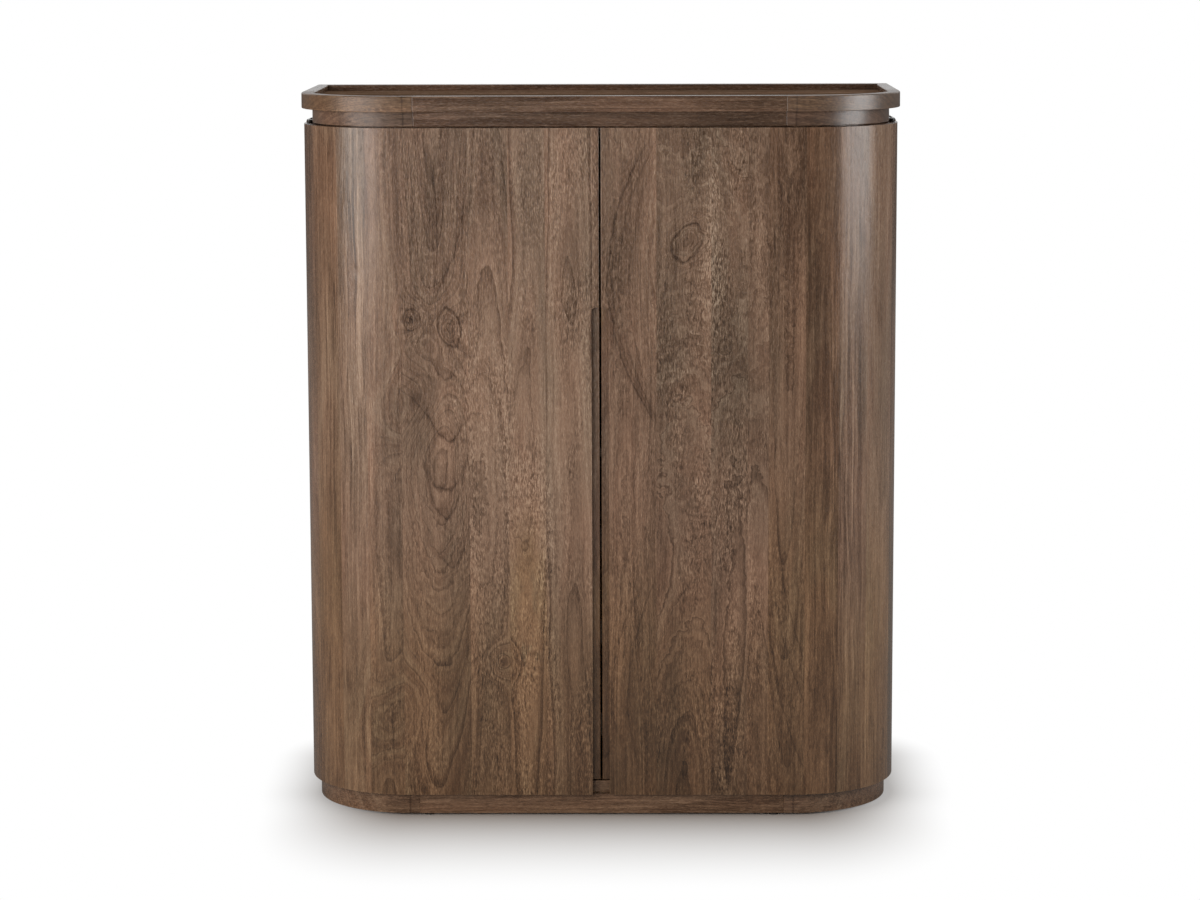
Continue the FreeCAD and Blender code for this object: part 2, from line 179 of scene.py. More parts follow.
def make_wood_group():
    """The stained hardwood itself, shared by all boards.

    Place is (across, depth, along) in metres on the board and Pith the distance from the heart of
    the tree, whose rings give the growth lines. Short dashes, long lines, stripes and streaks, pores
    and pale flecks are noises drawn out along the grain, and two slower noises bend them. Figure is
    0 in straight grain, which is all fine lines, and 1 in curly grain, which has more dashes, flecks
    and ripples; what it has beyond 1 is a burl, full of pale flecks, and what it lacks below 0 is
    striped wood, whose raised stripes break up the gloss.
    """
    tree = bpy.data.node_groups.new("stained_hardwood", "ShaderNodeTree")
    for name, kind in (
        ("Place", "Vector"), ("Pith", "Float"), ("Tone", "Float"), ("Warmth", "Float"), ("Figure", "Float")
    ):
        tree.interface.new_socket(name, in_out="INPUT", socket_type="NodeSocket" + kind)
    for name, kind in (("Colour", "Color"), ("Roughness", "Float"), ("Height", "Float")):
        tree.interface.new_socket(name, in_out="OUTPUT", socket_type="NodeSocket" + kind)
    net = Net(tree)
    given = tree.nodes.new("NodeGroupInput").outputs
    place, pith, tone, warmth, figure = (given[number] for number in range(5))
    burl = net.math("MAXIMUM", net.math("SUBTRACT", figure, 1.0), 0.0)
    striped = net.math("MAXIMUM", net.times(figure, -1.0), 0.0)
    figure = net.math("MINIMUM", net.math("MAXIMUM", figure, 0.0), 1.0)

    clouds = net.noise(net.scaled(place, 11.0, 11.0, 2.6), 3.0, 0.55)
    cloud, cloud_colour = clouds[0], net.split(clouds[1])
    wander = net.noise(net.scaled(place, 16.0, 16.0, 5.0), 2.0, 0.5)[1]
    kink = net.noise(net.scaled(place, 80.0, 80.0, 90.0), 2.0, 0.5)[1]
    flow = net.moved(place, wander, 0.016)
    curled = net.moved(flow, kink, 0.004)
    sway = net.noise(net.scaled(place, 7.0, 7.0, 1.0), 1.0, 0.4)[0]
    waver = net.noise(net.scaled(place, 24.0, 24.0, 5.0), 1.0, 0.4)[0]
    phase = net.total(net.times(pith, 120.0), net.times(sway, 3.0), net.times(waver, 0.8))
    bands = net.noise_line(phase, 2.0, 0.6)
    grain = net.noise_line(net.times(phase, 3.0), 2.0, 0.6)
    late_wood = net.times(net.math("POWER", net.math("FRACT", phase), 9.0), net.span(bands, 0.30, 0.60))
    late_wood = net.times(late_wood, net.span(figure, 0.1, 0.6, 0.3, 1.0))
    zone = net.noise(net.scaled(place, 22.0, 22.0, 4.5), 2.0, 0.5)[0]
    zone = net.math("MULTIPLY_ADD", net.span(zone, 0.38, 0.60), figure, burl)
    dash = net.noise(net.scaled(curled, 640.0, 640.0, 110.0), 1.0, 0.50)[0]
    line = net.noise(net.scaled(flow, 420.0, 420.0, 5.0), 2.0, 0.60)[0]
    stripe = net.noise(net.scaled(flow, 150.0, 150.0, 1.6), 3.0, 0.60)[0]
    streak = net.noise(net.scaled(flow, 240.0, 240.0, 15.0), 2.0, 0.60)[0]
    pore = net.span(net.noise(net.scaled(curled, 520.0, 520.0, 70.0), 1.0, 0.5)[0], 0.56, 0.72)
    fleck = net.span(net.noise(net.scaled(curled, 500.0, 500.0, 120.0), 1.0, 0.6)[0], 0.54, 0.72)
    ripple = net.noise(net.scaled(flow, 36.0, 36.0, 150.0), 2.0, 0.5)[0]
    curl = net.math("MULTIPLY_ADD", net.span(cloud_colour[2], 0.42, 0.66), zone, burl)

    value = net.total(
        tone,
        net.math("MULTIPLY_ADD", cloud, 0.50, -0.25),
        net.math("MULTIPLY_ADD", bands, 0.32, -0.16),
        net.times(net.math("SUBTRACT", dash, 0.5), net.math("MULTIPLY_ADD", zone, 0.85, 0.40)),
        net.times(net.math("SUBTRACT", line, 0.5), net.math("MULTIPLY_ADD", figure, -0.34, 0.64)),
        net.times(net.math("SUBTRACT", stripe, 0.5), net.math("MULTIPLY_ADD", figure, -0.60, 0.68)),
        net.times(net.math("SUBTRACT", stripe, 0.5), net.times(striped, 1.3)),
        net.times(net.math("SUBTRACT", line, 0.5), net.times(striped, 0.8)),
        net.times(net.math("SUBTRACT", grain, 0.5), net.math("MULTIPLY_ADD", figure, 0.30, 0.10)),
        net.math("MULTIPLY_ADD", streak, 0.18, -0.09),
        net.times(late_wood, -0.32),
        net.times(pore, net.math("MULTIPLY_ADD", zone, -0.14, -0.08)),
        net.times(fleck, net.math("MULTIPLY_ADD", curl, 0.26, 0.05)),
        net.times(net.math("SUBTRACT", ripple, 0.5), net.times(curl, 0.45)),
    )
    colour = net.ramp(value, [
        (0.0, (0.030, 0.015, 0.008)),
        (0.30, (0.086, 0.049, 0.030)),
        (0.52, (0.162, 0.100, 0.066)),
        (0.75, (0.258, 0.169, 0.117)),
        (1.0, (0.390, 0.276, 0.202)),
    ])
    warm = net.blend(1.0, colour, (1.075, 0.95, 0.87), "MULTIPLY")
    cool = net.blend(1.0, colour, (0.93, 1.00, 0.98), "MULTIPLY")
    hue = net.math("MULTIPLY_ADD", cloud_colour[0], 1.6, -0.8)
    amber = net.span(warmth, 0.65, 1.25)
    hue = net.total(warmth, hue, net.math("MULTIPLY_ADD", bands, -0.6, 0.3), net.times(amber, -0.40))
    colour = net.blend(net.math("MINIMUM", net.math("MAXIMUM", hue, 0.0), 1.0), cool, warm)
    colour = net.blend(amber, colour, net.blend(1.0, colour, (1.0, 0.98, 0.80), "MULTIPLY"))
    rough = net.total(0.25, net.times(pore, 0.14), net.math("MULTIPLY_ADD", dash, 0.14, -0.06))
    ridge = net.times(net.times(net.math("ADD", stripe, line), striped), 7.0)
    height = net.total(net.times(pore, -0.7), net.times(late_wood, -0.3), net.times(dash, 0.5), ridge)
    done = tree.nodes.new("NodeGroupOutput")
    for key, socket in enumerate((colour, rough, height)):
        tree.links.new(socket, done.inputs[key])
    return tree


wood_group = make_wood_group()


def door_length(net, x, y):
    """Distance along the bent door from the meeting edge: along the flat, round the bend, up the heel."""
    side = net.math("ABSOLUTE", x)
    over = net.math("MAXIMUM", net.math("SUBTRACT", side, BEND_X), 0.0)
    deep = net.math("MAXIMUM", net.math("SUBTRACT", BEND_Y, y), 1e-5)
    bend = net.times(net.math("ARCTAN2", over, deep), BEND_RADIUS)
    heel = net.math("MAXIMUM", net.math("SUBTRACT", y, BEND_Y), 0.0)
    return net.total(net.math("MINIMUM", side, BEND_X), bend, heel)


def lie_of(net, lie):
    """The (across, depth, along) of a board from its place in the cabinet, by how its grain lies."""
    x, y, z = net.split(net.add("TexCoord").outputs["Object"])
    if lie == "bent":
        return door_length(net, x, y), y, z
    if lie == "upright_x":
        return x, y, z
    if lie == "upright_y":
        return y, x, z
    if lie == "along_x":
        return z, y, x
    if lie == "along_y":
        return z, x, y
    if lie == "flat_x":
        return y, z, x
    return z, y, door_length(net, x, y)


def knot_marks(net, across, along, knot):
    """How much a knot swells the growth lines round it, and how much it darkens the wood.

    The knot is a slanting ellipse with half sizes wide and tall. A noise makes r, the distance from
    its middle as a share of its size, uneven. The swell is the exponent of minus a third of r
    squared, the outline a narrow bell at r = 1, the inner rings the cube of how far r has run
    through each quarter, and the heart the exponent of minus eight times r squared.
    """
    place_across, place_along, wide, tall, slant, swell, core, outline = knot
    aside = net.math("SUBTRACT", across, place_across)
    above = net.math("SUBTRACT", along, place_along)
    u = net.times(net.math("MULTIPLY_ADD", above, slant, aside), 1 / wide)
    v = net.times(above, 1 / tall)
    uneven = net.noise(net.join(net.times(across, 40.0), 0.0, net.times(along, 40.0)), 2.0, 0.6)[0]
    round_it = net.math("SQRT", net.math("MULTIPLY_ADD", u, u, net.times(v, v)))
    r = net.math("ADD", round_it, net.math("MULTIPLY_ADD", uneven, 0.7, -0.35))
    square = net.times(r, r)
    swelling = net.times(net.math("EXPONENT", net.times(square, -1 / 3)), swell)
    if not outline:
        return swelling, None
    edge = net.times(net.math("SUBTRACT", r, 1.0), 11.0)
    line = net.times(net.math("EXPONENT", net.times(net.times(edge, edge), -1.0)), outline)
    rings = net.times(net.math("POWER", net.math("FRACT", net.times(r, 4.0)), 3.0), outline * 0.8)
    rings = net.times(rings, net.span(r, 1.0, 0.85))
    heart = net.times(net.math("EXPONENT", net.times(square, -8.0)), core)
    return swelling, net.total(line, rings, heart)


def growth_curve(net, across, along, curve, stave_low, stave_high):
    """How much a dark growth line darkens the wood.

    The line is the parabola across = start + bow times (along - middle) squared, made uneven by a
    noise. Its darkness is a bell across it, a few millimetres wide, with a softer shade that dies
    away from it on both sides. It fades out at both ends of its reach and stays within its stave.
    """
    start, bow, middle, low, high, dark = curve
    above = net.math("SUBTRACT", along, middle)
    bowed = net.math("MULTIPLY_ADD", net.times(above, above), bow, start)
    uneven = net.noise(net.join(net.times(across, 30.0), 0.0, net.times(along, 14.0)), 2.0, 0.5)[0]
    aside = net.math("SUBTRACT", across, bowed)
    aside = net.math("ADD", aside, net.math("MULTIPLY_ADD", uneven, 0.012, -0.006))
    bell = net.math("EXPONENT", net.times(net.times(aside, aside), -FINE_LINE))
    shade = net.math("EXPONENT", net.times(net.math("ABSOLUTE", aside), -170.0))
    fade = 0.06
    shown = net.times(net.span(along, low, low + fade), net.span(along, high, high - fade))
    shown = net.times(shown, net.math("LESS_THAN", across, stave_high))
    shown = net.times(shown, net.math("GREATER_THAN", across, stave_low))
    return net.times(net.times(net.math("MULTIPLY_ADD", shade, SIDE_SHADE, bell), shown), dark)


def growth_arch(net, across, along, arch):
    """How much a dark growth line in the form of an upturned arch darkens the wood.

    The line is the parabola along = foot + steep times (across - middle) squared, made uneven by a
    noise. The distance from it is the height above it over the root of one plus its slope squared.
    The darkness is a bell a few millimetres wide and a softer shade inside the arch, both times the
    exponent of minus the squared distance from the middle as a share of the half width.
    """
    middle, foot, steep, half_width, dark = arch
    aside = net.math("SUBTRACT", across, middle)
    square = net.times(aside, aside)
    uneven = net.noise(net.join(net.times(across, 60.0), 0.0, net.times(along, 20.0)), 2.0, 0.5)[0]
    above = net.math("SUBTRACT", along, net.math("MULTIPLY_ADD", square, steep, foot))
    above = net.math("ADD", above, net.math("MULTIPLY_ADD", uneven, 0.030, -0.015))
    slope = net.math("SQRT", net.math("MULTIPLY_ADD", square, 4 * steep * steep, 1.0))
    away = net.math("DIVIDE", above, slope)
    bell = net.math("EXPONENT", net.times(net.times(away, away), -BROAD_LINE))
    shade = net.times(net.math("EXPONENT", net.times(away, -110.0)), net.math("GREATER_THAN", away, 0.0))
    shown = net.math("EXPONENT", net.times(square, -1 / half_width ** 2))
    return net.times(net.times(net.math("MULTIPLY_ADD", shade, SIDE_SHADE, bell), shown), dark)


def within(net, value, low, high):
    """How far a number is inside a range: the smaller one of its distances from both ends."""
    return net.math("MINIMUM", net.math("SUBTRACT", value, low), net.math("SUBTRACT", high, value))


def worn_and_highlit_edges(net, node_name):
    """How near a point is to a board's sharp edges: 1 on an edge, gone within about two millimetres.

    The distance is the middle one of the distances to the board's faces along its three directions:
    thickness, height and length. In the rings of rails and in the doors the thickness runs along the
    radius from the bend's centre. Rings have no ends, and of a door only the meeting edge counts.
    The nearness is the exponent of minus WORN_AND_HIGHLIT_END times the distance. Boards use it to
    lighten their edges, partly as wear and partly as a painted highlight along the arrises.
    """
    x, y, z = net.split(net.add("TexCoord").outputs["Object"])
    (x_low, y_low, z_low), (x_high, y_high, z_high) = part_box(node_name)
    tall = within(net, z, z_low, z_high)
    ring = [radii for ending, radii in RINGS.items() if ending in node_name and "back" not in node_name]
    if ring:
        over = net.math("MAXIMUM", net.math("SUBTRACT", net.math("ABSOLUTE", x), BEND_X), 0.0)
        deep = net.math("MAXIMUM", net.math("SUBTRACT", BEND_Y, y), 0.0)
        radius = net.math("SQRT", net.math("MULTIPLY_ADD", over, over, net.times(deep, deep)))
        thick = within(net, radius, *ring[0])
    else:
        thick = within(net, y, y_low, y_high)
    if node_name.endswith("_door"):
        long = net.math("SUBTRACT", net.math("ABSOLUTE", x), HALF_GAP)
    elif ring:
        long = 1.0
    else:
        long = within(net, x, x_low, x_high)
    distance = net.math("MINIMUM", net.math("MAXIMUM", tall, thick), long)
    distance = net.math("MAXIMUM", net.math("MINIMUM", tall, thick), distance)
    return net.math("EXPONENT", net.times(net.math("MAXIMUM", distance, 0.0), -WORN_AND_HIGHLIT_END))


def glue_lines(net):
    """How dark the glue lines between the front rail, the bends and the side rails are.

    The distance from a line is that of x from the start of the bend in front, and that of y from
    its end at the side. The darkness is the exponent of minus GLUE_END times that distance.
    """
    x, y = net.split(net.add("TexCoord").outputs["Object"])[:2]
    side = net.math("SUBTRACT", net.math("ABSOLUTE", x), BEND_X)
    back = net.math("SUBTRACT", y, BEND_Y)
    front_line = net.math("MAXIMUM", net.math("ABSOLUTE", side), back)
    side_line = net.math("MAXIMUM", net.math("ABSOLUTE", back), net.times(side, -1.0))
    return net.math("EXPONENT", net.times(net.math("MINIMUM", front_line, side_line), -GLUE_END))


def patch_mark(net, across, along, patch):
    """How much of a patch of figured or plain wood there is at a point.

    The patch is an ellipse with half sizes wide and tall: the exponent of minus the squared distance
    from its middle, in shares of its size, made uneven by a noise. Patches that change the figure or
    the warmth are the wood's own; on the doors, those that change only the tone are painted light
    and shade.
    """
    place_across, place_along, wide, tall = patch[:4]
    u = net.math("MULTIPLY_ADD", across, 1 / wide, -place_across / wide)
    v = net.math("MULTIPLY_ADD", along, 1 / tall, -place_along / tall)
    uneven = net.noise(net.join(net.times(across, 60.0), 0.0, net.times(along, 16.0)), 2.0, 0.6)[0]
    square = net.math("MULTIPLY_ADD", u, u, net.times(v, v))
    return net.times(net.math("EXPONENT", net.times(square, -1.0)), net.span(uneven, 0.25, 0.50))


def wood(
    name, lie, staves, knots=(), curves=(), painted_light_by_height=(), patches=(), arches=(),
    gloss=0.8, dull=0.0, edges=None, wear_and_highlight=0.10, glued=False,
):
    """A board glued from staves. Each stave is (edge, tone, seed, warmth, heart, slope, figure).

    The edge is where the stave ends across the board, the heart is the pith's depth under the
    face and the slope how fast it runs out along the grain, which draws the pointed arches. With
    more than one stave, the first entry is only the edge where the board starts. Knots, curves and
    arches are marks in the wood, as knot_marks, growth_curve and growth_arch draw them. A patch is
    (across, along, wide, tall) and the figure, tone and, if given, warmth that it adds; on the doors,
    patches that change only the tone are painted light and shade. The list painted_light_by_height
    gives heights and how much lighter or darker the wood is painted there, as painted light and
    shade; such a board is also warmer towards the foot. Gloss is the strength of the reflection,
    dull the roughness added, edges the piece whose edges are lighter by up to wear_and_highlight,
    partly as wear and partly as a painted highlight, and glued says whether glue lines show.
    """
    material, net = new_material(name)
    across, depth, along = lie_of(net, lie)
    if len(staves) > 1:
        low, high = staves[0][0], staves[-1][0]
        share = net.math("MULTIPLY_ADD", across, 1 / (high - low), -low / (high - low))
        starts = [stave[0] for stave in staves[:-1]]
        places = [(edge - low) / (high - low) for edge in starts]
        ends = [stave[0] for stave in staves[1:]]
        middles = [((a + b) / 2 - low) / (high - low) for a, b in zip(starts, ends)]
        # The staves' numbers lie side by side as the colours of two stepped ramps
        looks = [(p, (s[1], s[2], s[3], s[6])) for p, s in zip(places, staves[1:])]
        hearts = [(p, (m, s[4], s[5] * 0.5 + 0.5)) for p, m, s in zip(places, middles, staves[1:])]
        look, figure = net.ramp(share, looks, "CONSTANT")
        heart = net.split(net.ramp(share, hearts, "CONSTANT"))
        stave_tone, seed, warmth = net.split(look)
        middle = net.math("MULTIPLY_ADD", heart[0], high - low, low)
        aside = net.math("SUBTRACT", across, middle)
        slope = net.math("MULTIPLY_ADD", heart[2], 2.0, -1.0)
        sunk = net.math("MULTIPLY_ADD", slope, along, heart[1])
    else:
        stave_tone, seed, warmth = staves[0][1:4]
        figure = staves[0][6]
        aside = across
        sunk = net.math("MULTIPLY_ADD", along, staves[0][5], net.math("ADD", depth, staves[0][4]))
    shift = net.times(seed, SEED_STEP) if len(staves) > 1 else seed * SEED_STEP
    place = net.join(*[net.math("ADD", value, shift) for value in (across, depth, along)])
    pith = net.math("SQRT", net.math("MULTIPLY_ADD", aside, aside, net.times(sunk, sunk)))
    marks = []
    for knot in knots:
        swelling, knot_mark = knot_marks(net, across, along, knot)
        pith = net.math("ADD", pith, swelling)
        marks += [knot_mark] if knot_mark is not None else []
    for patch in patches:
        share = patch_mark(net, across, along, patch)
        figure = net.math("MULTIPLY_ADD", share, patch[4], figure)
        stave_tone = net.math("MULTIPLY_ADD", share, patch[5], stave_tone)
        warmth = net.math("MULTIPLY_ADD", share, patch[6], warmth) if len(patch) > 6 else warmth
    for curve in curves:
        stave_low = max(stave[0] for stave in staves if stave[0] <= curve[0])
        stave_high = min(stave[0] for stave in staves if stave[0] > curve[0])
        marks.append(growth_curve(net, across, along, curve, stave_low, stave_high))
    marks += [growth_arch(net, across, along, arch) for arch in arches]
    # Painted light and shade by height: the tone is raised or lowered at the listed heights, and the board is
    # warmer towards the foot
    if painted_light_by_height:
        stops = [(height / CABINET_HEIGHT, (lift + 0.5,) * 3) for height, lift in painted_light_by_height]
        lifted = net.ramp(net.times(along, 1 / CABINET_HEIGHT), stops, "EASE")
        stave_tone = net.total(stave_tone, lifted, -0.5)
        warmth = net.math("ADD", warmth, net.span(along, 0.12, 0.70, 0.65, 0.0))
    if marks:
        stave_tone = net.math("SUBTRACT", stave_tone, net.total(*marks))
    # Lighter edges: partly wear, partly a painted highlight along the arrises
    if edges:
        patchy = net.span(net.noise(net.scaled(place, 40.0, 40.0, 14.0))[0], 0.35, 0.65, wear_and_highlight * 0.4, wear_and_highlight)
        stave_tone = net.math("MULTIPLY_ADD", worn_and_highlit_edges(net, edges), patchy, stave_tone)
    if glued:
        stave_tone = net.math("MULTIPLY_ADD", glue_lines(net), -GLUE_DARK, stave_tone)
    group = net.tree.nodes.new("ShaderNodeGroup")
    group.node_tree = wood_group
    for key, value in enumerate((place, pith, stave_tone, warmth, figure)):
        if isinstance(value, bpy.types.NodeSocket):
            net.tree.links.new(value, group.inputs[key])
        else:
            group.inputs[key].default_value = value
    bump = net.add("Bump", {"Strength": 0.12, "Distance": 0.0005, "Height": group.outputs[2]})
    shader = net.add("BsdfPrincipled", {
        "Base Color": group.outputs[0],
        "Roughness": net.math("ADD", group.outputs[1], dull) if dull else group.outputs[1],
        "Normal": bump.outputs[0],
        "Specular IOR Level": gloss,
    })
    close_material(net, shader.outputs[0])
    return material


def dress(material, *names):
    """Gives CAD pieces a material."""
    for name in names:
        mesh = nodes[name].data
        mesh.materials.clear()
        mesh.materials.append(material)


def ease_edges(width, *names):
    """Rounds the sharp edges of CAD boards a little, as sanding does."""
    for name in names:
        join = nodes[name].modifiers.new("join", "WELD")
        join.merge_threshold = 1e-5
        bevel = nodes[name].modifiers.new("eased", "BEVEL")
        bevel.width = width
        bevel.segments = 2
        bevel.limit_method = "ANGLE"
        bevel.angle_limit = math.radians(40)
        even = nodes[name].modifiers.new("even_shading", "WEIGHTED_NORMAL")
        even.keep_sharp = True


def stave_set(low, high, count, seed, tone=0.5, spread=0.05, warmth=0.5):
    """Staves of uneven width between two edges, each with its own tone, place in the tree and heart."""
    chance = np.random.default_rng(seed)
    widths = chance.uniform(0.75, 1.25, count)
    edges = low + np.concatenate([[0.0], np.cumsum(widths)]) / widths.sum() * (high - low)
    looks = np.stack([
        tone + chance.uniform(-spread, spread, count), chance.uniform(0.05, 0.95, count),
        chance.uniform(warmth - 0.25, warmth + 0.25, count), chance.uniform(0.02, 0.14, count),
        chance.uniform(-0.12, 0.12, count), chance.uniform(0.2, 0.9, count),
    ], axis=1)
    return [(float(edges[0]),)] + [(float(e), *map(float, row)) for e, row in zip(edges[1:], looks)]


def one_stave(seed, tone=0.5, warmth=0.5, heart=0.06, slope=0.03, figure=0.3):
    """A board in one piece."""
    return [(0.0, tone, seed, warmth, heart, slope, figure)]


# Doors: the distance across runs from the meeting edge round to the heel
left_staves = [
    (0.0,), (0.088, 0.545, 0.11, 0.45, 0.09, 0.005, 0.9), (0.150, 0.59, 0.34, 0.62, 0.10, -0.005, 1.0),
    (0.214, 0.58, 0.72, 0.50, 0.07, 0.02, 0.9), (0.326, 0.515, 0.48, 0.55, 0.10, -0.07, 0.6),
    (0.384, 0.515, 0.87, 0.55, 0.08, 0.02, 0.4), (0.440, 0.55, 0.23, 0.45, 0.10, -0.02, 0.2),
    (0.505, 0.515, 0.63, 0.85, 0.09, 0.03, 0.1), (0.560, 0.47, 0.18, 0.60, 0.12, 0.02, 0.2),
    (DOOR_LENGTH, 0.46, 0.55, 0.60, 0.10, 0.02, 0.1),
]
left_knots = [
    (0.308, 0.836, 0.014, 0.017, 0.0, 0.030, 0.24, 0.24),
    (0.247, 0.823, 0.019, 0.032, -0.1, 0.030, 0.06, 0.32),
    (0.303, 0.705, 0.030, 0.040, 0.3, 0.045, 0.16, 0.10),
    (0.163, 0.265, 0.012, 0.014, 0.0, 0.030, 0.20, 0.16),
    (0.255, 0.560, 0.050, 0.120, 0.0, -0.040, 0.0, 0.0),
    (0.345, 0.170, 0.026, 0.036, 0.3, 0.040, 0.03, 0.06),
]
right_staves = [
    (0.0,), (0.092, 0.49, 0.21, 0.60, 0.00, 0.02, 0.4), (0.180, 0.49, 0.77, 0.50, 0.05, 0.02, 0.8),
    (0.240, 0.48, 0.39, 0.40, 0.09, -0.03, 1.0), (0.276, 0.46, 0.92, 0.45, 0.08, 0.03, 0.7),
    (0.335, 0.45, 0.15, 0.80, 0.06, -0.04, 0.4), (0.394, 0.34, 0.58, 0.90, 0.10, 0.03, 0.2),
    (0.452, 0.505, 0.05, 0.50, 0.11, 0.02, 0.1), (0.530, 0.65, 0.68, 0.70, 0.09, -0.02, 0.2),
    (DOOR_LENGTH, 0.45, 0.31, 0.60, 0.10, 0.02, 0.1),
]
right_knots = [
    (0.142, 0.962, 0.023, 0.031, -0.35, 0.050, 0.14, 0.27),
    (0.150, 0.950, 0.070, 0.150, 0.0, 0.080, 0.0, 0.0),
    (0.204, 0.790, 0.011, 0.013, 0.0, 0.030, 0.20, 0.16),
    (0.120, 0.420, 0.040, 0.110, 0.0, 0.040, 0.0, 0.0),
]
# Patches: (across, along, wide, tall, figure, tone) and warmth if given. Those with figure are the wood's
# figure and the one with warmth a yellowish stave; those that change only the tone are painted light and
# shade: lighter at the foot of the bend and in the middle of the flat, darker high on the bend
left_figure_and_painted_light = [
    (0.110, 1.050, 0.050, 0.110, -0.4, -0.04), (0.110, 0.540, 0.045, 0.090, 0.6, 0.03),
    (0.265, 1.000, 0.050, 0.130, -0.3, -0.03), (0.190, 0.980, 0.020, 0.160, -0.5, 0.0),
    (0.440, 0.180, 0.120, 0.240, 0.0, 0.15), (0.110, 0.680, 0.130, 0.120, 0.0, 0.04),
    (0.120, 0.280, 0.022, 0.150, 0.0, 0.04, 0.9), (0.530, 1.080, 0.050, 0.180, 0.0, -0.10),
    (0.415, 0.850, 0.055, 0.380, -0.95, 0.0),
]
# Those that change only the tone are painted light and shade: lighter low and midway on the bend, darker at
# the top by the bend and at the foot by the meeting edge
right_figure_and_painted_light = [
    (0.182, 0.985, 0.016, 0.140, 1.2, 0.16), (0.120, 0.960, 0.040, 0.080, -0.6, 0.0),
    (0.150, 0.760, 0.040, 0.080, 0.4, 0.0), (0.215, 0.780, 0.030, 0.070, -0.5, -0.03),
    (0.300, 1.080, 0.075, 0.140, 0.0, -0.13), (0.315, 0.180, 0.100, 0.220, 0.0, 0.17),
    (0.480, 0.200, 0.050, 0.280, 0.0, 0.14), (0.470, 0.540, 0.060, 0.200, 0.0, 0.08),
    (0.130, 0.100, 0.050, 0.100, 0.0, -0.09), (0.405, 0.600, 0.045, 0.450, -0.65, 0.0),
]
# Painted light and shade of the doors by height: how much lighter or darker their wood is painted there,
# darkest at the foot
left_painted_light_by_height = [(0.05, -0.15), (0.18, -0.105), (0.37, 0.04), (0.60, 0.095), (0.82, 0.05), (1.03, 0.015)]
right_painted_light_by_height = [(0.05, -0.14), (0.18, -0.095), (0.37, -0.01), (0.60, 0.06), (0.82, 0.07), (1.03, 0.09)]
right_curves = [
    (0.012, 1.35, 0.905, 0.64, 1.15, 0.20), (0.019, 1.3, 0.905, 0.62, 0.98, 0.12),
    (0.030, 1.2, 0.900, 0.64, 1.15, 0.13), (0.050, 0.9, 0.890, 0.68, 1.14, 0.09),
    (0.045, 1.13, 0.200, 0.06, 0.44, 0.11), (0.018, 1.74, 0.220, 0.10, 0.42, 0.11),
    (0.292, 0.70, 0.520, 0.24, 0.56, 0.14), (0.2835, 0.82, 0.450, 0.16, 0.48, 0.12),
    (0.279, 0.74, 0.360, 0.05, 0.40, 0.14),
]
left_curves = [
    (0.265, 0.80, 0.980, 0.84, 1.16, 0.14), (0.221, 1.57, 1.050, 0.84, 1.06, 0.16),
    (0.272, 8.7, 0.640, 0.60, 0.77, 0.15),
]
left_arches = [
    (0.252, 0.738, 45.0, 0.024, 0.19), (0.250, 0.636, 40.0, 0.026, 0.28),
    (0.255, 0.551, 40.0, 0.030, 0.24), (0.255, 0.505, 75.0, 0.030, 0.25),
    (0.250, 0.426, 50.0, 0.026, 0.17),
]
door_wood = wood(
    "left_door_staves", "bent", left_staves, left_knots, left_curves, left_painted_light_by_height, left_figure_and_painted_light, left_arches,
    edges="left_door",
)
dress(door_wood, "left_door")
door_wood = wood(
    "right_door_staves", "bent", right_staves, right_knots, right_curves, right_painted_light_by_height, right_figure_and_painted_light,
    edges="right_door",
)
dress(door_wood, "right_door")

# Frames of tray, neck and plinth: one piece of board to each rail, the bends cut from blocks
corner_finish = {  # gloss, added roughness, added warmth
    "left_tray_corner": (0.8, 0.10, 0.4), "right_tray_corner": (1.5, 0.10, 0.4),
    "left_neck_corner": (0.8, 0.10, 0.0), "right_neck_corner": (1.2, 0.06, 0.0),
    "left_plinth_corner": (0.8, 0.0, 0.0), "right_plinth_corner": (1.2, 0.0, 0.0),
}
for shift, ring, tone, warmth in (
    (0.0, "tray_", 0.38, 0.75), (0.19, "neck_", 0.37, 0.7), (0.38, "plinth_", 0.42, 0.9),
):
    for side, part, lie, seed, shade in (
        ("", "front_rail", "along_x", 0.07, 0.0), ("", "back_rail", "along_x", 0.29, -0.12),
        ("left_", "side_rail", "along_y", 0.41, -0.01), ("right_", "side_rail", "along_y", 0.53, -0.01),
        ("left_", "corner", "round_bend", 0.66, 0.05), ("right_", "corner", "round_bend", 0.84, 0.0),
    ):
        name = side + ring + part
        gloss, dull, warmer = corner_finish.get(name, (0.8, 0.0, 0.0))
        slope, figure = (0.7, 0.5) if dull else (0.02, 0.15)
        staves = one_stave((seed + shift) % 1.0, tone + shade, warmth + warmer, 0.09, slope, figure)
        rail_wood = wood(
            name + "_board", lie, staves,
            gloss=gloss, dull=dull, edges=name, wear_and_highlight=0.16, glued=part != "back_rail",
        )
        dress(rail_wood, name)

# Strips behind the finger pull: for each, painted light and shade by height, darkest towards the foot, and
# patches that make them warmer there and, on the right, near the top
strip_painted_shade_and_warmth = {
    "left": (
        [(0.10, -0.40), (0.25, -0.29), (0.41, -0.19), (0.60, -0.11), (0.74, -0.045), (0.82, -0.07)],
        [(0.0, 0.12, 0.10, 0.22, 0.0, 0.0, 1.4)],
    ),
    "right": (
        [(0.10, -0.365), (0.25, -0.24), (0.41, -0.08), (0.60, -0.055), (0.74, 0.015), (0.82, 0.12)],
        [(0.0, 0.12, 0.10, 0.22, 0.0, 0.0, 0.55), (0.0, 0.83, 0.10, 0.05, 0.0, 0.0, 0.3)],
    ),
}

